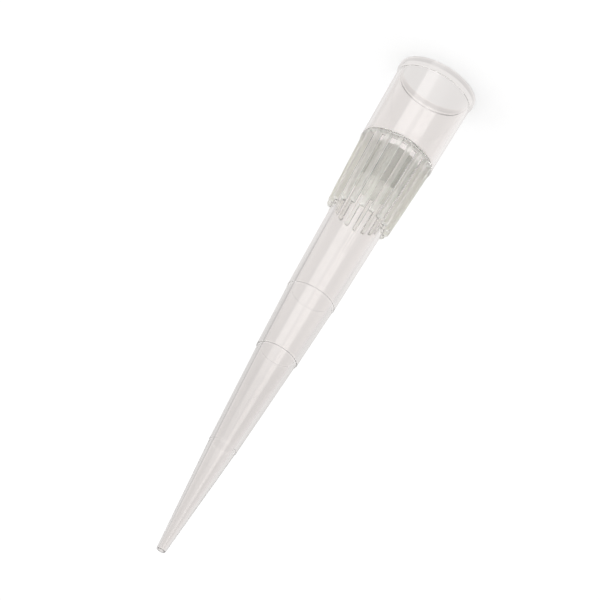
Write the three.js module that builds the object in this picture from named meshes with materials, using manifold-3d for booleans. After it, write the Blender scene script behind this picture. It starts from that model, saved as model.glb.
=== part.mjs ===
// A filter pipette tip for a 200 microlitre pipette, standing on its mouth.
// Millimetres, +Z up. The origin is the centre of the mouth rim and the orifice is at the top.
//
// tip_body     one clear polypropylene moulding: lip, collar, shoulder, fins and tapered body
// filter_plug  a sintered polyethylene plug pressed into the bore behind the fins

import * as THREE from "three";
import { mergeVertices } from "three/addons/utils/BufferGeometryUtils.js";
import Module from "manifold-3d";

const wasm = await Module();
wasm.setup();

// ---------------------------------------------------------------- heights above the mouth rim
const tip_length = 48.1;
const lip_height = 0.49; // the straight band round the mouth
const lip_flare_height = 0.37; // the cone that joins the band to the collar
const collar_length = 7.63; // rim to shoulder
const fin_length = 6.77; // shoulder to the fins' free ends
const lead_in_height = 0.78; // the wide start of the socket
const socket_depth = 7.3; // rim to the floor of the nozzle's socket
const socket_floor_height = 0.25; // the cone from the socket down to the filter's bore
const filter_setback = 0.45; // from the end of that cone to the plug
const filter_length = 3.4;

// ---------------------------------------------------------------- distances from the orifice
const mark_10_distance = 10.3; // ledge at 10 microlitres
const mark_50_distance = 19.53; // ledge at 50 microlitres
const mark_100_distance = 25.41; // ledge at 100 microlitres

// ---------------------------------------------------------------- bore radii
const lead_in_width = 0.305; // how much wider the lead-in is at the rim
const lead_in_step = 0.18; // and where it stops, at a small step down to the socket
const socket_mouth_radius = 3.08;
const socket_floor_radius = 2.95;
const filter_bore_radius = 2.2;
const bore_at_fin_end = 1.99;
const bore_at_mark_100 = 1.735;
const bore_at_mark_50 = 1.44;
const bore_at_mark_10 = 0.88;
const orifice_radius = 0.225;

// ---------------------------------------------------------------- walls, steps and clearances
const collar_wall = 0.31;
const lip_overhang = 0.11; // lip beyond the collar
const core_wall_at_shoulder = 0.46;
const wall_at_fin_end = 0.395;
const wall_at_mark_100 = 0.393;
const wall_at_mark_50 = 0.321;
const wall_at_mark_10 = 0.312;
const wall_at_orifice = 0.161;
const ledge_100 = 0.04; // how far each mark's ledge stands out
const ledge_50 = 0.075;
const ledge_10 = 0.03;
const orifice_rounding = 0.07; // outer edge of the orifice's end face
const filter_clearance = 0.03; // plug to bore, on the radius
const filter_edge = 0.1; // broken edge of the plug

// ---------------------------------------------------------------- fins
const fin_count = 18;
const fin_thickness = 0.4;
const fin_inset = 0.075; // fins' outer edge inside the collar's, at the shoulder
const fin_end_depth = 0.47; // how far a fin stands out at its free end
const fin_corner = 0.2; // rounding of the free end's outer corner
const weld = 0.1; // how far a fin runs into the core and the shoulder

const segments = 4 * fin_count; // round the axis, so that every fin meets the core alike
const arc_steps = 4;

// ---------------------------------------------------------------- worked out from the above
const fin_end_height = collar_length + fin_length;
const filter_bore_height = socket_depth + socket_floor_height;
const filter_start = filter_bore_height + filter_setback;
const filter_end = filter_start + filter_length;
const mark_100_height = tip_length - mark_100_distance;
const mark_50_height = tip_length - mark_50_distance;
const mark_10_height = tip_length - mark_10_distance;

const collar_mouth_radius = socket_mouth_radius + collar_wall;
const collar_root_radius = socket_floor_radius + collar_wall;
const lip_radius = collar_mouth_radius + lip_overhang;
const core_radius = filter_bore_radius + core_wall_at_shoulder;
const body_at_fin_end = bore_at_fin_end + wall_at_fin_end;
const body_at_mark_100 = bore_at_mark_100 + wall_at_mark_100;
const body_at_mark_50 = bore_at_mark_50 + wall_at_mark_50;
const body_at_mark_10 = bore_at_mark_10 + wall_at_mark_10;
const body_at_orifice = orifice_radius + wall_at_orifice;
const fin_radius_at_shoulder = collar_root_radius - fin_inset;
const fin_radius_at_end = body_at_fin_end + fin_end_depth;

// ---------------------------------------------------------------- helpers
// A quarter turn about centre, from angle start to angle end, as points of a profile.
function arc(centre_x, centre_y, radius, start, end) {
  const points = [];
  for (let i = 0; i <= arc_steps; i += 1) {
    const angle = start + ((end - start) * i) / arc_steps;
    points.push([centre_x + radius * Math.cos(angle), centre_y + radius * Math.sin(angle)]);
  }
  return points;
}

// Turns a closed profile of [radius, height] pairs about Z.
function turned(profile) {
  const points = profile.map(([radius, height]) => new THREE.Vector2(radius, height));
  const geometry = new THREE.LatheGeometry(points, segments);
  geometry.rotateX(Math.PI / 2);
  return geometry;
}

// A three.js geometry as a manifold solid, with its shared corners merged.
function solid(geometry) {
  const bare = geometry.clone();
  bare.deleteAttribute("normal");
  bare.deleteAttribute("uv");
  const merged = mergeVertices(bare);
  const mesh = new wasm.Mesh({
    numProp: 3,
    vertProperties: new Float32Array(merged.attributes.position.array),
    triVerts: new Uint32Array(merged.index.array),
  });
  mesh.merge();
  return new wasm.Manifold(mesh);
}

// A manifold solid as a three.js geometry.
function geometryOf(manifold) {
  const mesh = manifold.getMesh();
  const geometry = new THREE.BufferGeometry();
  geometry.setAttribute("position", new THREE.BufferAttribute(mesh.vertProperties, 3));
  geometry.setIndex(new THREE.BufferAttribute(mesh.triVerts, 1));
  geometry.computeVertexNormals();
  return geometry;
}

// ---------------------------------------------------------------- tip body
function tipBodyGeometry() {
  const end_centre_radius = body_at_orifice - orifice_rounding;
  const end_centre_height = tip_length - orifice_rounding;
  const outside = [
    [lip_radius, 0],
    [lip_radius, lip_height],
    [collar_mouth_radius, lip_height + lip_flare_height],
    [collar_root_radius, collar_length],
    [core_radius, collar_length],
    [body_at_fin_end, fin_end_height],
    [body_at_mark_100 + ledge_100, mark_100_height],
    [body_at_mark_100, mark_100_height],
    [body_at_mark_50 + ledge_50, mark_50_height],
    [body_at_mark_50, mark_50_height],
    [body_at_mark_10 + ledge_10, mark_10_height],
    [body_at_mark_10, mark_10_height],
    ...arc(end_centre_radius, end_centre_height, orifice_rounding, 0, Math.PI / 2),
  ];
  const bore = [
    [orifice_radius, tip_length],
    [bore_at_mark_10, mark_10_height],
    [bore_at_mark_50, mark_50_height],
    [bore_at_mark_100, mark_100_height],
    [bore_at_fin_end, fin_end_height],
    [filter_bore_radius, filter_bore_height],
    [socket_floor_radius, socket_depth],
    [socket_mouth_radius, lead_in_height],
    [socket_mouth_radius + lead_in_step, lead_in_height],
    [socket_mouth_radius + lead_in_width, 0],
  ];
  let body = solid(turned([...outside, ...bore, outside[0]]));
  for (let i = 0; i < fin_count; i += 1) {
    const fin = finGeometry();
    fin.rotateZ((2 * Math.PI * i) / fin_count);
    body = body.add(solid(fin));
  }
  return geometryOf(body);
}

// One fin in the XZ plane, from inside the core's wall to the fin's outer edge.
function finGeometry() {
  const corner_radius = fin_radius_at_end - fin_corner;
  const corner_height = fin_end_height - fin_corner;
  const outline = [
    [core_radius - weld, collar_length - weld],
    [fin_radius_at_shoulder, collar_length - weld],
    ...arc(corner_radius, corner_height, fin_corner, 0, Math.PI / 2),
    [body_at_fin_end - weld, fin_end_height],
  ];
  const shape = new THREE.Shape(outline.map(([radius, height]) => new THREE.Vector2(radius, height)));
  const geometry = new THREE.ExtrudeGeometry(shape, { depth: fin_thickness, bevelEnabled: false });
  geometry.translate(0, 0, -fin_thickness / 2);
  geometry.rotateX(Math.PI / 2);
  return geometry;
}

// ---------------------------------------------------------------- filter plug
// The bore's radius beside the fins, where the plug sits.
function filterBoreAt(height) {
  const share = (height - filter_bore_height) / (fin_end_height - filter_bore_height);
  return filter_bore_radius + share * (bore_at_fin_end - filter_bore_radius);
}

function filterPlugGeometry() {
  const lower = filterBoreAt(filter_start) - filter_clearance;
  const upper = filterBoreAt(filter_end) - filter_clearance;
  return turned([
    [0, filter_start],
    [lower - filter_edge, filter_start],
    [lower, filter_start + filter_edge],
    [upper, filter_end - filter_edge],
    [upper - filter_edge, filter_end],
    [0, filter_end],
  ]);
}

// ---------------------------------------------------------------- the scene graph
const clear_polypropylene = new THREE.MeshStandardMaterial({
  color: 0xe4e1dd,
  roughness: 0.15,
  metalness: 0,
  transparent: true,
  opacity: 0.45,
});
const sintered_polyethylene = new THREE.MeshStandardMaterial({
  color: 0xbab9b2,
  roughness: 0.95,
  metalness: 0,
});

const tip_body = new THREE.Mesh(tipBodyGeometry(), clear_polypropylene);
tip_body.name = "tip_body";

const filter_plug = new THREE.Mesh(filterPlugGeometry(), sintered_polyethylene);
filter_plug.name = "filter_plug";

const pipette_tip = new THREE.Group();
pipette_tip.name = "pipette_tip";
pipette_tip.add(tip_body, filter_plug);

export default pipette_tip;
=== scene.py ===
# %% [markdown]
# # A filter pipette tip
#
# The real object is two pieces. The tip is one injection moulding in clear polypropylene: a lip, a
# collar, a shoulder, eighteen fins and a long tapered body with three volume ledges. Inside it sits a
# short plug of sintered polyethylene. It stands on its mouth, with the orifice at the top.
#
# The construction model already has both pieces at their real size, in flat facets. Clear plastic
# shows every facet, so this script gives each piece a finer surface in the same place, a material for
# each plastic, and the kind of light that clear plastic needs.
#
# Its box is kept straight away, before anything is added, so that the two can be compared at the end.

import math

import bpy
import numpy as np
from mathutils import Matrix, Vector


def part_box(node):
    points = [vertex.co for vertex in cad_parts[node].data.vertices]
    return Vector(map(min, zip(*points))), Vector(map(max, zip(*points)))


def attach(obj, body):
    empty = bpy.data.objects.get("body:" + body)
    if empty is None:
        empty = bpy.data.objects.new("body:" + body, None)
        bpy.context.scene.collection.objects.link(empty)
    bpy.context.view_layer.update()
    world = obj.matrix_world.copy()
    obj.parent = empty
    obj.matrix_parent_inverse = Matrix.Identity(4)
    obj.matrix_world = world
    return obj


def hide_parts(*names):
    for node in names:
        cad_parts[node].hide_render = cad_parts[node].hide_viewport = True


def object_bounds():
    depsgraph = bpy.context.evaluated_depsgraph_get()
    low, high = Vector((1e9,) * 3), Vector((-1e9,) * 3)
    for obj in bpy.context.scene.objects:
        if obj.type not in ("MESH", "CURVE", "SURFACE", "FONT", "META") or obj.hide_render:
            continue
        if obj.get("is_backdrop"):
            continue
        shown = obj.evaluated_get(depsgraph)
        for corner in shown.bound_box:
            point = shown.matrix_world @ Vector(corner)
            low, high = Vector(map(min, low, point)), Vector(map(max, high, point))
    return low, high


MM = 0.001
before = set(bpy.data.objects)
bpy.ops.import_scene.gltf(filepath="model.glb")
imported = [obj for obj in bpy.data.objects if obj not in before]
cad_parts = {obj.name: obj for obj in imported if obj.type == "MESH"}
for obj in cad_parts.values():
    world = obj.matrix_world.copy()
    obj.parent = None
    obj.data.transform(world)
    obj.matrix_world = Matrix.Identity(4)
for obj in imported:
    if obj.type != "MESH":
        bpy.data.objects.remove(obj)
cad_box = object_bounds()
print("construction box in mm:", [[round(c / MM, 2) for c in corner] for corner in cad_box])

# %% [markdown]
# ## Sizes
#
# The overall sizes come from the frame, so the surfaces below follow it. The rest are the moulding's
# own heights and radii in millimetres: heights are from the mouth rim, and the three ledges are
# measured from the orifice, as the tool maker would measure them.

# %% Sizes of the outside in millimetres
tip_low, tip_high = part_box("tip_body")
plug_low, plug_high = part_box("filter_plug")
TIP_LENGTH = (tip_high.z - tip_low.z) / MM
LIP_RADIUS = tip_high.x / MM

LIP_HEIGHT = 0.49
FLARE_TOP = 0.86  # the cone from the lip to the collar ends here
COLLAR_MOUTH = LIP_RADIUS - 0.11
COLLAR_ROOT = COLLAR_MOUTH - 0.13
SHOULDER = 7.63
SHOULDER_INSIDE = 3.21  # the flat shoulder reaches in to the fins
FIN_END = 14.4
CORE_ROOT = 2.66  # the core's radius between the fins, at the shoulder
CORE_END = 2.385  # and at their free ends
MARK_100 = TIP_LENGTH - 25.41
MARK_50 = TIP_LENGTH - 19.53
MARK_10 = TIP_LENGTH - 10.3
BODY_100 = 2.128  # the body's radius just past each ledge
BODY_50 = 1.761
BODY_10 = 1.192
BODY_END = 0.386
print(f"tip {TIP_LENGTH:.1f} mm long, {2 * LIP_RADIUS:.1f} mm across the lip")

# %% [markdown]
# The bore has its own taper. At the mouth a wide lead-in guides the nozzle and ends in a small step.
# The socket behind it narrows by a little over a degree on each side, which is what grips the nozzle.
# A short cone then leads on to the bore that holds the filter.

# %% Sizes of the bore in millimetres
RIM_MIDDLE = 3.44  # middle of the narrow flat that the tip stands on
LEAD_IN_MOUTH = 3.385
LEAD_IN_STEP = 0.18
LEAD_IN_TOP = 0.78
SOCKET_MOUTH = 3.08
SOCKET_FLOOR = 2.95
SOCKET_DEPTH = 7.3
FILTER_BORE = 2.2
FILTER_BORE_START = 7.55
BORE_FIN_END = 1.99
BORE_100 = 1.735
BORE_50 = 1.44
BORE_10 = 0.88
ORIFICE = 0.225
socket_taper = math.atan((SOCKET_MOUTH - SOCKET_FLOOR) / (SOCKET_DEPTH - LEAD_IN_TOP))
print("each side of the socket leans by", round(math.degrees(socket_taper), 2), "degrees")

# %% [markdown]
# ## The moulding's outline
#
# Smooth shading blends the directions of neighbouring faces. Where a long flat run meets a small
# rounding, that blend would spread along the whole run and clear plastic would bend the view through
# it like a lens. A support point close to each end of a long run keeps the blend short.

# %% Support points
SUPPORT_REACH = 0.12


def braced(path):
    """The path with a point a short reach in from both ends of every run longer than four reaches. The
    two points lie at the share reach / length of the run, from either end."""
    run = np.diff(path, axis=0)
    length = np.linalg.norm(run, axis=1)
    long = np.flatnonzero(length > 4 * SUPPORT_REACH)
    inwards = run[long] * (SUPPORT_REACH / length[long])[:, None]
    support = np.concatenate([path[long] + inwards, path[long + 1] - inwards])
    return np.insert(path, np.concatenate([long, long]) + 1, support, axis=0)


print("a run of 1 mm becomes", len(braced(np.array([[0.0, 0.0], [1.0, 0.0]]))), "points")

# %% [markdown]
# A moulded edge is never perfectly sharp. The outline is a list of corners, each with the radius that
# the tool leaves there, and one function turns the list into a smooth path. A Bevel modifier could
# round a plain lathe, but it gives every edge one radius, and the largest here is more than eight times
# the smallest.

# %% Path with rounded corners
def rounded(corners, degrees_per_step=18.0):
    """A path through (radius, height, rounding) corners. Each corner becomes an arc that touches both
    of its sides: it starts and ends at rounding * tan(turn / 2) from the corner."""
    points = np.array([corner[:2] for corner in corners], float)
    path = [points[:1]]
    for before, here, after, corner in zip(points, points[1:], points[2:], corners[1:]):
        come = (here - before) / np.linalg.norm(here - before)
        leave = (after - here) / np.linalg.norm(after - here)
        turn = math.acos(np.clip(come @ leave, -1, 1))
        side = np.array([-come[1], come[0]])
        side = side if side @ leave > 0 else -side
        centre = here - come * corner[2] * math.tan(turn / 2) + side * corner[2]
        steps = max(3, math.ceil(math.degrees(turn) / degrees_per_step)) if corner[2] else 0
        angle = np.linspace(0, turn, steps + 1)[:, None]
        path.append(centre - side * corner[2] * np.cos(angle) + come * corner[2] * np.sin(angle))
    path.append(points[-1:])
    return braced(np.concatenate(path))


sample = rounded([(0, 0, 0), (1, 0, 0.2), (1, 1, 0)])
print("a square corner becomes", len(sample), "points")

# %% [markdown]
# Each volume ledge is a small flat step, where the body's radius drops all at once. A tool maker turns
# it crisp, so that it can be read as a mark, and on clear plastic it shows as a fine line.

# %% One volume ledge
def ledge(height, radius, width):
    """The two corners of a ledge at one height: the body's radius plus the ledge's width, and then the
    radius alone. The rounding is 0.02, or a little under half the width where the ledge is narrow."""
    rounding = min(0.02, width / 2 - 0.001)
    return [(radius + width, height, rounding), (radius, height, rounding)]


print("rounding of a ledge 0.03 mm wide:", round(ledge(0, BODY_10, 0.03)[0][2], 3), "mm")

# %% [markdown]
# The outline starts on the rim, goes up the outside to the shoulder, and leaves off where the fins
# begin. Above the fins it goes on up the body, past the three ledges, over the orifice and down the
# bore. The bore widens at the floor of the socket and again at the lead-in. Its mouth is softer than
# the ledges, because a nozzle has to slide in.

# %% Outline of the moulding
lower_path = rounded([
    (RIM_MIDDLE + 0.003, 0, 0),
    (LIP_RADIUS, 0, 0.05),
    (LIP_RADIUS, LIP_HEIGHT, 0.02),
    (COLLAR_MOUTH, FLARE_TOP, 0.12),
    (COLLAR_ROOT, SHOULDER, 0.02),
    (SHOULDER_INSIDE, SHOULDER, 0),
])
upper_path = rounded([
    (CORE_END - 0.001, FIN_END + 0.03, 0),  # support points close above the fins' ends
    (CORE_END - 0.003, FIN_END + 0.1, 0),
    *ledge(MARK_100, BODY_100, 0.04),
    *ledge(MARK_50, BODY_50, 0.075),
    *ledge(MARK_10, BODY_10, 0.03),
    (BODY_END, TIP_LENGTH, 0.07),
    (ORIFICE, TIP_LENGTH, 0.02),
    (BORE_10, MARK_10, 0),
    (BORE_50, MARK_50, 0),
    (BORE_100, MARK_100, 0),
    (BORE_FIN_END, FIN_END, 0),
    (FILTER_BORE, FILTER_BORE_START, 0.08),
    (SOCKET_FLOOR, SOCKET_DEPTH, 0.1),
    (SOCKET_MOUTH, LEAD_IN_TOP, 0.015),
    (SOCKET_MOUTH + LEAD_IN_STEP, LEAD_IN_TOP, 0.015),
    (LEAD_IN_MOUTH, 0, 0.055),
    (RIM_MIDDLE - 0.003, 0, 0),
])
print("outline points:", len(lower_path), "below the fins,", len(upper_path), "above")

# %% [markdown]
# ## The fins
#
# The fins are flat bars that stand out from the core, with softened edges, a small fillet where they
# meet the core and a rounded outer corner at the free end. A boolean join would leave hard seams, and
# clear plastic would show them. So the fins are part of the same grid as the rest: every row is one
# height, every column one place round the axis, and half a fin with half the bay beside it is worked
# out once.

# %% Rows of half a fin and half a bay
FIN_COUNT = 18
FIN_HALF = 0.2  # half a fin's thickness
FIN_OUT_ROOT = 3.185  # the outer face's distance from the axis, at the shoulder
FIN_OUT_END = 2.855  # and at the free end
FIN_EDGE = 0.1  # rounding of the long edges and of the free end's sides
FIN_FOOT = 0.02  # fillet between a fin's side and the core
FIN_CORNER = 0.2  # rounding of the free end's outer corner
SHOULDER_FILLET = 0.07
ROW_BRACE = 0.05  # from a rounding to the first row of the straight stretch


def fin_rows():
    """Height, core radius, fin's outer distance and half thickness of each row. The core and the
    thickness grow by a quarter-circle fillet at the shoulder, and the outer distance by a fifth of it.
    At the free end the outer corner and then the side edges draw in by radius * (1 - sqrt(1 - x * x)),
    with x from 0 to 1 along the rounding."""
    foot = np.radians(np.linspace(0, 90, 6))
    end = np.radians(np.linspace(0, 90, 8))
    straight_from = SHOULDER + SHOULDER_FILLET + ROW_BRACE
    straight = np.linspace(straight_from, FIN_END - FIN_CORNER - ROW_BRACE, 6)
    z = np.concatenate([
        SHOULDER + SHOULDER_FILLET * (1 - np.cos(foot)),
        straight,
        FIN_END - FIN_CORNER + FIN_CORNER * np.sin(end),
    ])
    grow = np.zeros(len(z))
    grow[:len(foot)] = SHOULDER_FILLET * (1 - np.sin(foot))
    share = (z - SHOULDER) / (FIN_END - SHOULDER)
    core = CORE_ROOT + (CORE_END - CORE_ROOT) * share + grow
    corner = np.clip((z - FIN_END + FIN_CORNER) / FIN_CORNER, 0, 1)
    edge = np.clip((z - FIN_END + FIN_EDGE) / FIN_EDGE, 0, 1)
    out = FIN_OUT_ROOT + (FIN_OUT_END - FIN_OUT_ROOT) * share + 0.2 * grow
    out = out - FIN_CORNER * (1 - np.sqrt(1 - corner**2))
    half = FIN_HALF + grow - FIN_EDGE * (1 - np.sqrt(1 - edge**2))
    return z, core, out, half


print("fins:", FIN_COUNT, "in", len(fin_rows()[0]), "rows")

# %% [markdown]
# One row of half a bay is a path too, seen from above. It has a support point beside every rounding:
# one on the fin's flat top and two on its straight side.

# %% Columns of half a fin and half a bay
SIDE_BRACE = 0.03
TOP_BRACE = 0.02
BAY_STEPS = np.array([0.06, 0.3, 0.55, 0.8, 1.0])  # shares of the core's arc between two fins


def half_bays(core, out, half):
    """For every row, x and y from the middle of a fin to the middle of the bay beside it: the flat top,
    a quarter circle over the edge, the straight side, a hollow quarter circle at the foot, and the
    core's arc at the core radius."""
    core, out, half = core[:, None], out[:, None], half[:, None]
    foot_y = half + FIN_FOOT
    foot_x = np.sqrt(core**2 - foot_y**2)
    quarter = np.radians([[0, 30, 60, 90]])
    start = np.arctan2(foot_y, foot_x)
    angle = start + (math.pi / FIN_COUNT - start) * BAY_STEPS[None]
    x = [
        out, out, out - FIN_EDGE * (1 - np.cos(quarter)),
        out - FIN_EDGE - SIDE_BRACE, foot_x + FIN_FOOT + SIDE_BRACE,
        foot_x + FIN_FOOT * (1 - np.sin(quarter)), core * np.cos(angle),
    ]
    y = [
        0 * out, half - FIN_EDGE - TOP_BRACE, half - FIN_EDGE * (1 - np.sin(quarter)),
        half, half,
        half + FIN_FOOT * (1 - np.cos(quarter)), core * np.sin(angle),
    ]
    return np.concatenate(x, axis=1), np.concatenate(y, axis=1)


fin_z, fin_core, fin_out, fin_half = fin_rows()
fin_x, fin_y = half_bays(fin_core, fin_out, fin_half)
print("half a bay:", fin_x.shape[0], "rows of", fin_x.shape[1], "points")

# %% [markdown]
# ## One closed grid
#
# Above and below the fins every row is a plain circle. The rows run up the outside, over the orifice
# and down the bore, back to where they began. So the grid closes on itself both ways, like a ring, and
# has no seam and no pole.
#
# The circles carry the same columns as the fins, so that the columns run straight through.

# %% Circles to match the fins
foot_angle = math.asin((FIN_HALF + FIN_FOOT) / CORE_END)
circle_angle = np.concatenate([
    np.linspace(0, foot_angle, fin_x.shape[1] - len(BAY_STEPS)),
    foot_angle + (math.pi / FIN_COUNT - foot_angle) * BAY_STEPS,
])[None]


def circle_rows(path):
    """Each (radius, height) of the path as a row of half-bay points on a circle of that radius."""
    radius, z = path[:, :1], path[:, 1:]
    return np.stack([radius * np.cos(circle_angle), radius * np.sin(circle_angle), z + 0 * circle_angle])


def all_round(rows):
    """Mirrors each half bay about its fin and repeats it round the axis by rotation, without doubling
    the column that two bays share. The result has one (x, y, z) for each row and column."""
    flip = np.array([1, -1, 1])[:, None, None]
    x, y, z = np.concatenate([rows[:, :, :0:-1] * flip, rows[:, :, :-1]], axis=2)
    turn = 2 * math.pi * np.arange(FIN_COUNT)[None, :, None] / FIN_COUNT
    x, y, z = x[:, None], y[:, None], z[:, None]
    grid = [x * np.cos(turn) - y * np.sin(turn), x * np.sin(turn) + y * np.cos(turn), z + 0 * turn]
    return np.stack(grid, axis=-1).reshape(rows.shape[1], -1, 3)


print("columns in half a bay:", circle_angle.shape[1])

# %% [markdown]
# A grid of points needs faces and an object to hold them. Both helpers serve the plug too, and the
# second one the table. The faces are listed so that their normals point away from the plastic.

# %% Helpers for grids
def closed_faces(rows, columns, wrap_rows=True):
    """Quads between each point and its neighbours one row and one column on. Columns always close on
    themselves, and rows do so when wrap_rows is true."""
    i, j = np.meshgrid(np.arange(rows if wrap_rows else rows - 1), np.arange(columns), indexing="ij")
    i_next, j_next = (i + 1) % rows, (j + 1) % columns
    corners = [i * columns + j, i * columns + j_next, i_next * columns + j_next, i_next * columns + j]
    return np.stack(corners, axis=-1).reshape(-1, 4)


def new_object(name, points, faces):
    """A smooth-shaded object at the origin, from points in millimetres and a list of faces. The mesh
    holds the points times 0.001, in metres."""
    mesh = bpy.data.meshes.new(name)
    mesh.from_pydata((points.reshape(-1, 3) * MM).tolist(), [], faces)
    mesh.shade_smooth()
    made = bpy.data.objects.new(name, mesh)
    bpy.context.scene.collection.objects.link(made)
    return made


print("3 rows of 4 points that close both ways make", len(closed_faces(3, 4)), "faces")

# %% [markdown]
# Now the rows come together. The Weighted Normal modifier lets the large flat faces decide the
# shading, which is how light really leaves a flat side that ends in a tiny rounding.

# %% Join the rows
fin_part = np.stack([fin_x, fin_y, fin_z[:, None] + 0 * fin_x])
tip_rows = np.concatenate([circle_rows(lower_path), fin_part, circle_rows(upper_path)], axis=1)
tip_points = all_round(tip_rows)
tip_moulding = new_object("tip_moulding", tip_points, closed_faces(*tip_points.shape[:2]).tolist())
even = tip_moulding.modifiers.new("flat_faces_lead", "WEIGHTED_NORMAL")
even.weight = 60
print("tip moulding:", tip_points.shape[0], "rows by", tip_points.shape[1], "columns")

# %% [markdown]
# ## The plug
#
# The plug is a short tapered rod with broken edges. Its grid is a path turned about the axis, and a
# fan of triangles closes each end at a pole. The rings lie as close together as the path's support
# points. The step between them is a hair longer than that, so that rounding errors never decide
# whether such a short run is cut in two.

# %% Plug's outline
PLUG_TOP_RADIUS = 2.07
PLUG_EDGE = 0.09
POLE_RING = 0.05  # radius of the last ring before each pole
plug_bottom, plug_top = plug_low.z / MM, plug_high.z / MM


def resampled(path, step):
    """The path with extra points along its straight runs. Each run is cut into equal parts, as few as
    keep a part no longer than step, and a new point lies at its part's number / all parts of the run."""
    run = np.diff(path, axis=0)
    parts = np.maximum(1, np.ceil(np.linalg.norm(run, axis=1) / step)).astype(int)
    number = np.arange(1, parts.sum() + 1) - np.repeat(np.cumsum(parts) - parts, parts)
    share = number / np.repeat(parts, parts)
    points = np.repeat(path[:-1], parts, axis=0) + np.repeat(run, parts, axis=0) * share[:, None]
    return np.concatenate([path[:1], points])


plug_path = resampled(rounded([
    (POLE_RING, plug_bottom, 0),
    (plug_high.x / MM, plug_bottom, PLUG_EDGE),
    (PLUG_TOP_RADIUS, plug_top, PLUG_EDGE),
    (POLE_RING, plug_top, 0),
], degrees_per_step=10), step=1.001 * SUPPORT_REACH)
print("plug outline:", len(plug_path), "points")

# %% Plug's grid
PLUG_COLUMNS = 120
plug_turn = 2 * math.pi * np.arange(PLUG_COLUMNS)[None] / PLUG_COLUMNS
plug_radius, plug_z = plug_path[:, :1], plug_path[:, 1:]
plug_x, plug_y = plug_radius * np.cos(plug_turn), plug_radius * np.sin(plug_turn)
plug_grid = np.stack([plug_x, plug_y, plug_z + 0 * plug_turn], axis=-1)
plug_points = np.concatenate([plug_grid.reshape(-1, 3), [[0, 0, plug_bottom], [0, 0, plug_top]]])
print("plug:", len(plug_points), "points")

# %% Plug's faces
plug_rows = len(plug_path)
first = np.arange(PLUG_COLUMNS)
after = (first + 1) % PLUG_COLUMNS
last_row = (plug_rows - 1) * PLUG_COLUMNS
bottom_pole = np.full(PLUG_COLUMNS, plug_rows * PLUG_COLUMNS)
bottom_fan = np.stack([after, first, bottom_pole], axis=-1)
top_fan = np.stack([last_row + first, last_row + after, bottom_pole + 1], axis=-1)
plug_sides = closed_faces(plug_rows, PLUG_COLUMNS, wrap_rows=False)
plug_faces = plug_sides.tolist() + bottom_fan.tolist() + top_fan.tolist()
sintered_plug = new_object("sintered_plug", plug_points, plug_faces)
print("plug:", len(plug_faces), "faces")

# %% [markdown]
# ## Colours and nodes
#
# Colours are written as sRGB hex, as a swatch would give them, and one function turns them into the
# linear numbers that shaders work in. The others start an empty material, and add any kind of node
# with its settings and its links.

# %% Helpers for materials
def linear(swatch):
    """An sRGB hex colour as linear RGBA: below 0.04045 a channel is divided by 12.92, and above it the
    channel is ((c + 0.055) / 1.055) to the power 2.4."""
    channels = [int(swatch[i:i + 2], 16) / 255 for i in (1, 3, 5)]
    return (*[c / 12.92 if c <= 0.04045 else ((c + 0.055) / 1.055) ** 2.4 for c in channels], 1.0)


def add(tree, kind, settings=None, sockets=None):
    """Adds one node. settings are its own properties. sockets are its inputs by name or number, each
    a plain value, another node's output, or another node, which then gives its first output."""
    made = tree.nodes.new(kind)
    for name, value in (settings or {}).items():
        setattr(made, name, value)
    for name, value in (sockets or {}).items():
        source = value.outputs[0] if isinstance(value, bpy.types.Node) else value
        if isinstance(source, bpy.types.NodeSocket):
            tree.links.new(source, made.inputs[name])
        else:
            made.inputs[name].default_value = source
    return made


def new_material(name):
    """An empty material, its node tree and its output node."""
    made = bpy.data.materials.new(name)
    made.use_nodes = True
    made.node_tree.nodes.clear()
    return made, made.node_tree, made.node_tree.nodes.new("ShaderNodeOutputMaterial")


print("a mid grey of #808080 is", round(linear("#808080")[0], 3), "in linear light")

# %% [markdown]
# ## Clear polypropylene
#
# The mould is polished where it shapes the lip, the collar, the body and the bore, so the plastic is
# glossy there and you see straight through it. The slots that shape the fins are too narrow to polish.
# They are cut by spark erosion, which leaves a fine matt surface, so the fins look paler and greyer
# than the rest, and things behind them are blurred.
#
# A mask finds the fins from their own shape: between the shoulder and the free ends, wherever a point
# lies further out than the core. It reads the object's coordinates, so it stays with the moulding.
#
# The first half of it measures how far a point lies outside the core. The core narrows from the
# shoulder to the fins' ends, and a Map Range node over the height follows it.

# %% How far out a point lies
polypropylene, tree, out = new_material("clear_polypropylene_moulded")
coords = add(tree, "ShaderNodeTexCoord")
point = add(tree, "ShaderNodeSeparateXYZ", None, {"Vector": coords.outputs["Object"]})
height = point.outputs["Z"]
level = add(tree, "ShaderNodeCombineXYZ", None, {"X": point.outputs["X"], "Y": point.outputs["Y"]})
radius = add(tree, "ShaderNodeVectorMath", {"operation": "LENGTH"}, {0: level})
core = add(tree, "ShaderNodeMapRange", None, {
    "Value": height, "From Min": SHOULDER * MM, "From Max": FIN_END * MM,
    "To Min": CORE_ROOT * MM, "To Max": CORE_END * MM})
outside = add(tree, "ShaderNodeMath", {"operation": "SUBTRACT"}, {0: radius.outputs["Value"], 1: core})
print("the core goes from", CORE_ROOT, "to", CORE_END, "mm")

# %% [markdown]
# The second half turns that into 0 or 1. The mask grows over the foot of each fin, so that there is no
# hard border on the clear core, and stops a hair beyond the shoulder and the free ends, so that their
# flat faces are matt too.

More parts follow.
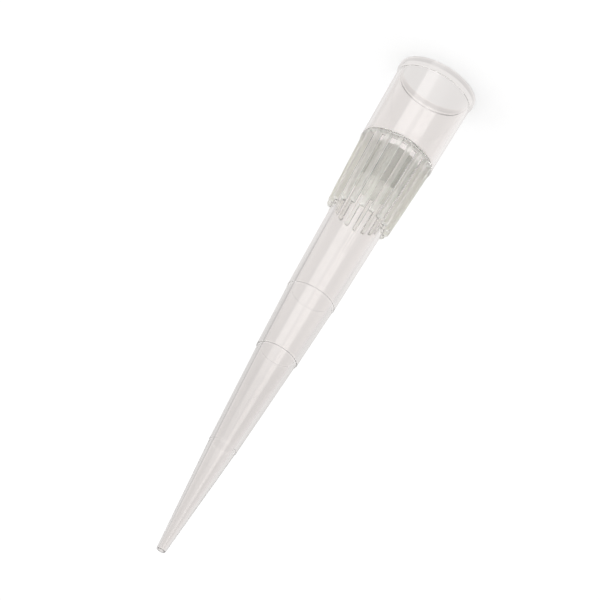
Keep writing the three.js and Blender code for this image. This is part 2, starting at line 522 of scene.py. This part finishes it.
# %% Where the fins are
stands_out = add(tree, "ShaderNodeMapRange", None, {
    "Value": outside, "From Min": 0.03 * MM, "From Max": 0.08 * MM})
over_shoulder = add(tree, "ShaderNodeMath", {"operation": "GREATER_THAN"}, {
    0: height, 1: (SHOULDER - 0.03) * MM})
under_ends = add(tree, "ShaderNodeMath", {"operation": "LESS_THAN"}, {
    0: height, 1: (FIN_END + 0.01) * MM})
between = add(tree, "ShaderNodeMath", {"operation": "MULTIPLY"}, {0: over_shoulder, 1: under_ends})
fins = add(tree, "ShaderNodeMath", {"operation": "MULTIPLY"}, {0: between, 1: stands_out})
print("fins from", SHOULDER, "to", FIN_END, "mm above the rim")

# %% [markdown]
# Polypropylene bends light a little less than glass: its index is 1.49. The polished part has a
# roughness of 0.03 and is fully clear. The fins go to 0.3, and an eighth of the light that meets them
# is scattered as if by white plastic. Their end faces touch the rack and the tool's shut-off, so they
# are scuffed and scatter more.

# %% Gloss and clarity
FIN_ROUGHNESS = 0.3
FIN_CLARITY = 0.87
END_CLARITY = 0.6
roughness = add(tree, "ShaderNodeMapRange", None, {
    "Value": fins, "To Min": 0.03, "To Max": FIN_ROUGHNESS})  # polished tool, spark-eroded slots
milky = add(tree, "ShaderNodeMapRange", None, {
    "Value": fins, "To Min": 1.0, "To Max": FIN_CLARITY})  # the fins look a little milky
near_end = add(tree, "ShaderNodeMapRange", None, {
    "Value": height, "From Min": (FIN_END - FIN_CORNER) * MM, "From Max": (FIN_END - 0.05) * MM})
end_faces = add(tree, "ShaderNodeMath", {"operation": "MULTIPLY"}, {0: near_end, 1: fins})
clarity = add(tree, "ShaderNodeMapRange", None, {
    "Value": end_faces, "To Min": milky, "To Max": END_CLARITY})
print("roughness on the fins:", FIN_ROUGHNESS, "and clarity", FIN_CLARITY, "to", END_CLARITY)

# %% Surface of the plastic
tint = add(tree, "ShaderNodeMix", {"data_type": "RGBA"}, {
    "Factor": fins,
    6: linear("#FFFDFC"),  # almost colourless, a touch warm where walls overlap
    7: linear("#FFFEF9"),  # matt plastic shows its own yellow-grey a little more
})
plastic = add(tree, "ShaderNodeBsdfPrincipled", None, {
    "Base Color": tint.outputs[2],
    "Roughness": roughness,
    "IOR": 1.49,
    "Transmission Weight": clarity,
})
print("nodes in the plastic so far:", len(tree.nodes))

# %% [markdown]
# Two things are left. A real clear tip throws a shadow that is hardly darker than the table, because
# most light passes through. A path tracer would need a very long time to find that light through two
# curved walls, so for shadow rays alone the plastic is a thin pale filter.
#
# Polypropylene is partly crystalline, and the crystals scatter a trace of light inside the wall. A
# thin Volume Scatter gives that haze. A denser one would take the light out of the fins.

# %% Shadow and haze
ray = add(tree, "ShaderNodeLightPath")
filtered = add(tree, "ShaderNodeBsdfTransparent", None, {"Color": linear("#F3F2F1")})
surface = add(tree, "ShaderNodeMixShader", None, {
    0: ray.outputs["Is Shadow Ray"], 1: plastic, 2: filtered})
tree.links.new(surface.outputs[0], out.inputs["Surface"])
HAZE = 35.0  # scatterings per metre
haze = add(tree, "ShaderNodeVolumeScatter", None, {
    "Color": linear("#FFFFFA"), "Density": HAZE, "Anisotropy": 0.4})
tree.links.new(haze.outputs[0], out.inputs["Volume"])
tip_moulding.data.materials.append(polypropylene)
print("haze: light goes", round(1 / HAZE / MM, 1), "mm in the plastic before it is scattered once")

# %% [markdown]
# ## Sintered polyethylene
#
# The plug is made of polyethylene beads, heated in a mould until they stick together where they touch.
# Air passes between them and a spray of liquid doesn't. The surface is dull and grainy, the pale
# greenish grey of unpigmented plastic in its own shadow. Voronoi cells of a bead's size, 0.16 mm, raise
# the grain. A noise texture would look like stone, because its bumps have no common size.

# %% Surface of the plug
BEAD = 0.16  # millimetres across
polyethylene, tree, out = new_material("sintered_polyethylene_beads")
coords = add(tree, "ShaderNodeTexCoord")
beads = add(tree, "ShaderNodeTexVoronoi", None, {
    "Vector": coords.outputs["Object"], "Scale": 1 / (BEAD * MM)})
grain = add(tree, "ShaderNodeBump", None, {
    "Strength": 0.5, "Distance": 0.04 * MM, "Height": beads.outputs["Distance"]})
dull = add(tree, "ShaderNodeBsdfPrincipled", None, {
    "Base Color": linear("#D6D7D1"),  # its own greenish tint, painted darker than white polyethylene for the shade it sits in inside the tip
    "Roughness": 0.9,  # no gloss: the beads' tops are round and small
    "Normal": grain,
})
tree.links.new(dull.outputs[0], out.inputs["Surface"])
sintered_plug.data.materials.append(polyethylene)
print("beads across the plug:", round(2 * plug_high.x / MM / BEAD))

# %% [markdown]
# ## What stands for what
#
# Each fine surface rides on the tip's one body and takes the place of its construction node.

# %% Link the pieces to the construction model
pieces = [
    (tip_moulding, "tip_body", "clear_polypropylene"),
    (sintered_plug, "filter_plug", "sintered_polyethylene"),
]
for piece, node, slot in pieces:
    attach(piece, "root")
    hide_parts(node)
    print(piece.name, "stands for", node)

# %% [markdown]
# ## The table
#
# The tip stands on a white table. The table is a plain square under the mouth, so little below it that
# the shadow touches the rim. Its colour is a light grey, and a glow of 0.42 brings it to white without
# any more light on the tip.
#
# What clear plastic shows is whatever lies behind it. Rays that the plastic reflects or lets through
# pass the table and meet the studio's surroundings instead, which the next cells set up. All other rays
# meet the table, so it keeps the tip's shadow.

# %% Table top
TABLE_HALF = 600
TABLE_DROP = 0.02  # below the rim
corners = np.array([[-1, -1, 0], [1, -1, 0], [1, 1, 0], [-1, 1, 0]]) * TABLE_HALF - [0, 0, TABLE_DROP]
table = new_object("table", corners, [(0, 1, 2, 3)])
table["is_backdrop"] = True
print("table", 2 * TABLE_HALF, "mm square")


# %% White laminate
def through_plastic(tree):
    """1 for the rays that clear plastic reflects or lets through, and 0 for the rest: the larger of the
    two Light Path outputs for them."""
    ray = add(tree, "ShaderNodeLightPath")
    return add(tree, "ShaderNodeMath", {"operation": "MAXIMUM"}, {
        0: ray.outputs["Is Glossy Ray"], 1: ray.outputs["Is Transmission Ray"]})


laminate, tree, out = new_material("white_laminate_table")
laminate.cycles.emission_sampling = "NONE"
matt = add(tree, "ShaderNodeBsdfDiffuse", None, {"Color": linear("#B4B4B4")})
glow = add(tree, "ShaderNodeEmission", None, {"Strength": 0.42})
white = add(tree, "ShaderNodeAddShader", None, {0: matt, 1: glow})
unseen = add(tree, "ShaderNodeBsdfTransparent", None, {"Color": linear("#FFFFFF")})
surface = add(tree, "ShaderNodeMixShader", None, {0: through_plastic(tree), 1: white, 2: unseen})
tree.links.new(surface.outputs[0], out.inputs["Surface"])
table.data.materials.append(laminate)
print("materials:", [material.name for material in (polypropylene, polyethylene, laminate)])

# %% [markdown]
# ## The surroundings
#
# A clear thing isn't lit by itself. What is lit is whatever it reflects and whatever shows through it.
# Two ramps do that here, and the world's brightness in any direction is their product.
#
# The first goes round the tip. Zero degrees is the camera's side and 180 is straight behind. Pale grey
# paper stands behind the tip, and a narrow white card beside the camera draws the long highlights down
# the collar and the body. Between them the room is darker, which gives the edges their grey.
#
# The card stands low, where the collar's walls reflect it to a camera that looks down. Higher up there
# is a second, calmer set of greys without the card. That is what shows through the tip when you look at
# it from the side, so the tip stays visible against white from there too.

# %% Directions in the studio
CAMERA_SIDE = math.radians(274.4)  # from +X, round the tip
scene = bpy.context.scene
studio = bpy.data.worlds.new("studio")
scene.world = studio
studio.use_nodes = True
tree = studio.node_tree
tree.nodes.clear()
coords = add(tree, "ShaderNodeTexCoord")
turned = add(tree, "ShaderNodeMapping", {"vector_type": "TEXTURE"}, {
    "Vector": coords.outputs["Generated"], "Rotation": (0, 0, CAMERA_SIDE)})
towards = add(tree, "ShaderNodeSeparateXYZ", None, {"Vector": turned})
angle = add(tree, "ShaderNodeMath", {"operation": "ARCTAN2"}, {
    0: towards.outputs["Y"], 1: towards.outputs["X"]})
print("the camera stands at", round(math.degrees(CAMERA_SIDE), 1), "degrees")

# %% [markdown]
# A Color Ramp runs from 0 to 1, so a Map Range node brings each angle or height to its share of the
# whole range, and one function puts the stops in the same way.

# %% Stops on a ramp
def put_stops(ramp, stops, low, high):
    """Gives a Color Ramp its stops, which are (value, brightness) pairs in order. A value's place is
    (value - low) / (high - low)."""
    elements = ramp.color_ramp.elements
    elements.remove(elements[-1])
    for number, (value, brightness) in enumerate(stops):
        place = (value - low) / (high - low)
        element = elements.new(place) if number else elements[0]
        element.position = place
        element.color = (brightness, brightness, brightness, 1)


share_round = add(tree, "ShaderNodeMapRange", None, {
    "Value": angle, "From Min": -math.pi, "From Max": math.pi})
share_up = add(tree, "ShaderNodeMapRange", None, {
    "Value": towards.outputs["Z"], "From Min": -1, "From Max": 1})
print("nodes for the directions:", len(tree.nodes))


# %% Brightness round the tip
def stops_round(back, dark, card=()):
    """Stops round the tip, in degrees from the camera's side: paper behind it with a wing on each side,
    a darker room, and the card. back and dark are the paper's and the room's brightness."""
    return [
        (-180, back), (-172, 1.02 * back),  # the paper behind
        (-160, 0.91), (-120, 0.91),  # its left wing, nearer and a little lighter
        (-80, dark), (-53, dark),  # the room on the left
        *card,
        (46, dark), (80, dark),  # the room on the right
        (108, back), (114, back),  # a strip of paper
        (121, 0.8 * back), (130, 0.8 * back),  # the gap beside it, for a soft grey band along the edge
        (140, 0.86), (150, 0.86),  # the right wing
        (175, back),
    ]


CARD = 2.3
CARD_FROM, CARD_TO = 11, 40
soft_edge = [(-27, 0.9), (-3, 1.14), (0, 1.24), (5.4, 1.5)]  # the card's left edge fades out
white_card = [*soft_edge, (CARD_FROM, CARD), (CARD_TO, CARD)]
high_part = add(tree, "ShaderNodeValToRGB", None, {"Fac": share_round})
put_stops(high_part, stops_round(0.9, 0.85), -180, 180)
low_part = add(tree, "ShaderNodeValToRGB", None, {"Fac": share_round})
put_stops(low_part, stops_round(0.8, 0.57, white_card), -180, 180)
lowness = add(tree, "ShaderNodeMapRange", None, {
    "Value": towards.outputs["Z"], "From Min": -0.27, "From Max": -0.33})
around = add(tree, "ShaderNodeMix", {"data_type": "RGBA"}, {
    "Factor": lowness, 6: high_part, 7: low_part})
print("the card covers", CARD_TO - CARD_FROM, "degrees")

# %% [markdown]
# The second ramp goes from straight down, where the direction's height is -1, to straight up, where it
# is 1. Light that passes straight through the tip comes from below the horizon, between -0.38 and
# -0.47, because the camera looks down by 25 degrees and the taper bends the light a little. The dark
# ring further down draws the grey line along the shoulder.

# %% Brightness from below to above
TILT = math.radians(25.27)  # how far the camera looks down
rise = add(tree, "ShaderNodeValToRGB", None, {"Fac": share_up})
put_stops(rise, [
    (-1, 1.0), (-0.95, 1.0),  # under the tip
    (-0.9, 0.45), (-0.66, 0.45),  # the dark ring
    (-0.59, 1.04), (-0.5, 1.04),  # the lip's share
    (-0.475, 1.0), (-0.433, 1.0),  # seen through the collar
    (-0.415, 0.95), (-0.405, 0.85), (-0.38, 0.84),  # seen through the body, down to its thin end
    (-0.3, 0.95), (0.04, 1.0),  # the horizon
    (0.1, 0.95), (0.5, 0.95),  # the walls
    (0.6, 1.0),  # the ceiling
], -1, 1)
print("the camera looks down at a height of", round(-math.sin(TILT), 2))

# %% [markdown]
# The product gets the slight warmth of paper. Only rays that the plastic reflects or lets through see
# it, and only until they have met a matt surface. The camera sees plain white past the table, and the
# matt surfaces, such as the plug, are lit evenly by a room at 1.2.
#
# The world's light is found by following rays only. The other way, aiming rays at the world, would
# treat the plastic as its thin shadow filter and count light that never came through the real walls.

# %% Put the surroundings together
studio.cycles.sampling_method = "NONE"
paper = add(tree, "ShaderNodeMix", {"data_type": "RGBA", "blend_type": "MULTIPLY"}, {
    "Factor": 1.0, 6: around.outputs[2], 7: rise})
warm = add(tree, "ShaderNodeMix", {"data_type": "RGBA", "blend_type": "MULTIPLY"}, {
    "Factor": 1.0, 6: paper.outputs[2], 7: linear("#FFFDFC")})
ray = add(tree, "ShaderNodeLightPath")
room = add(tree, "ShaderNodeMapRange", None, {
    "Value": ray.outputs["Is Camera Ray"], "To Min": 1.2, "To Max": 1.0})
unscattered = add(tree, "ShaderNodeMath", {"operation": "LESS_THAN"}, {
    0: ray.outputs["Diffuse Depth"], 1: 0.5})
by_plastic = add(tree, "ShaderNodeMath", {"operation": "MULTIPLY"}, {
    0: through_plastic(tree), 1: unscattered})
seen = add(tree, "ShaderNodeMix", {"data_type": "RGBA"}, {
    "Factor": by_plastic, 6: room, 7: warm.outputs[2]})
background = add(tree, "ShaderNodeBackground", None, {"Color": seen.outputs[2], "Strength": 1.0})
out = tree.nodes.new("ShaderNodeOutputWorld")
tree.links.new(background.outputs[0], out.inputs["Surface"])
print("world nodes:", len(tree.nodes))

# %% [markdown]
# ## The lamp
#
# One large round softbox hangs overhead, close enough to be soft. It gives the tip its faint shadow.

# %% Softbox
def softbox(name, place, aim, size, watts):
    """A round area lamp at place, turned to face aim. Places and size are in millimetres."""
    data = bpy.data.lights.new(name, "AREA")
    data.shape = "DISK"
    data.size = size * MM
    data.energy = watts
    lamp = bpy.data.objects.new(name, data)
    lamp.location = Vector(place) * MM
    lamp.rotation_mode = "QUATERNION"
    lamp.rotation_quaternion = (Vector(aim) - Vector(place)).to_track_quat("-Z", "Y")
    scene.collection.objects.link(lamp)
    return lamp


overhead = softbox("overhead", (50, 50, 500), (0, 0, 20), size=400, watts=0.6)
print("lamps: 1,", overhead.data.energy, "W")

# %% [markdown]
# ## The camera
#
# A long lens, 300 mm on a 36 mm sensor, keeps the taper true. It looks down by 25 degrees and is rolled
# by 31, so that the tip lies across the view with the orifice at the bottom left. The view's middle is
# 22.4 mm from the orifice along the tip, as the camera sees it, and 0.6 mm aside. From 391 mm away the
# view is 47 mm wide.

# %% Where the camera looks
ROLL = math.radians(30.72)
FAR = 391.35
side = Vector((math.cos(CAMERA_SIDE), math.sin(CAMERA_SIDE), 0))
down = Vector((0, 0, -1))
across = down.cross(side)
forward = math.sin(TILT) * down - math.cos(TILT) * side
along = math.cos(TILT) * down + math.sin(TILT) * side
right = math.sin(ROLL) * along + math.cos(ROLL) * across
up = math.cos(ROLL) * along - math.sin(ROLL) * across
middle = Vector((0, 0, TIP_LENGTH)) + 22.415 * along - 0.642 * across
place = (middle - FAR * forward) * MM
print("middle of the view:", [round(c, 1) for c in middle], "mm")

# %% Camera
camera_data = bpy.data.cameras.new("camera")
camera_data.sensor_width = 36
camera_data.lens = 300
camera_data.clip_start = 0.01
camera_data.clip_end = 10
camera = bpy.data.objects.new("camera", camera_data)
camera.matrix_world = Matrix((
    (right.x, up.x, -forward.x, place.x),
    (right.y, up.y, -forward.y, place.y),
    (right.z, up.z, -forward.z, place.z),
    (0, 0, 0, 1),
))
scene.collection.objects.link(camera)
scene.camera = camera
print("camera at", [round(c / MM) for c in camera.matrix_world.translation], "mm")

# %% [markdown]
# ## View and light paths
#
# Standard view keeps white paper white. A ray through the fins can cross thirty walls before it gets
# out, so the limits on bounces are high. With low ones the fins would turn dark.

# %% Settings
scene.view_settings.view_transform = "Standard"
scene.cycles.max_bounces = 128
scene.cycles.transmission_bounces = 64
scene.cycles.glossy_bounces = 64
scene.cycles.volume_bounces = 32
scene.cycles.transparent_max_bounces = 24
print("bounces:", scene.cycles.max_bounces)

# %% [markdown]
# ## Compare
#
# The fine surfaces should fill the same box as the construction model.

# %% Sizes
visual_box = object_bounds()
off = max(abs(a - b) for c, d in zip(cad_box, visual_box) for a, b in zip(c, d))
print("largest difference between the boxes:", round(off / MM, 4), "mm")
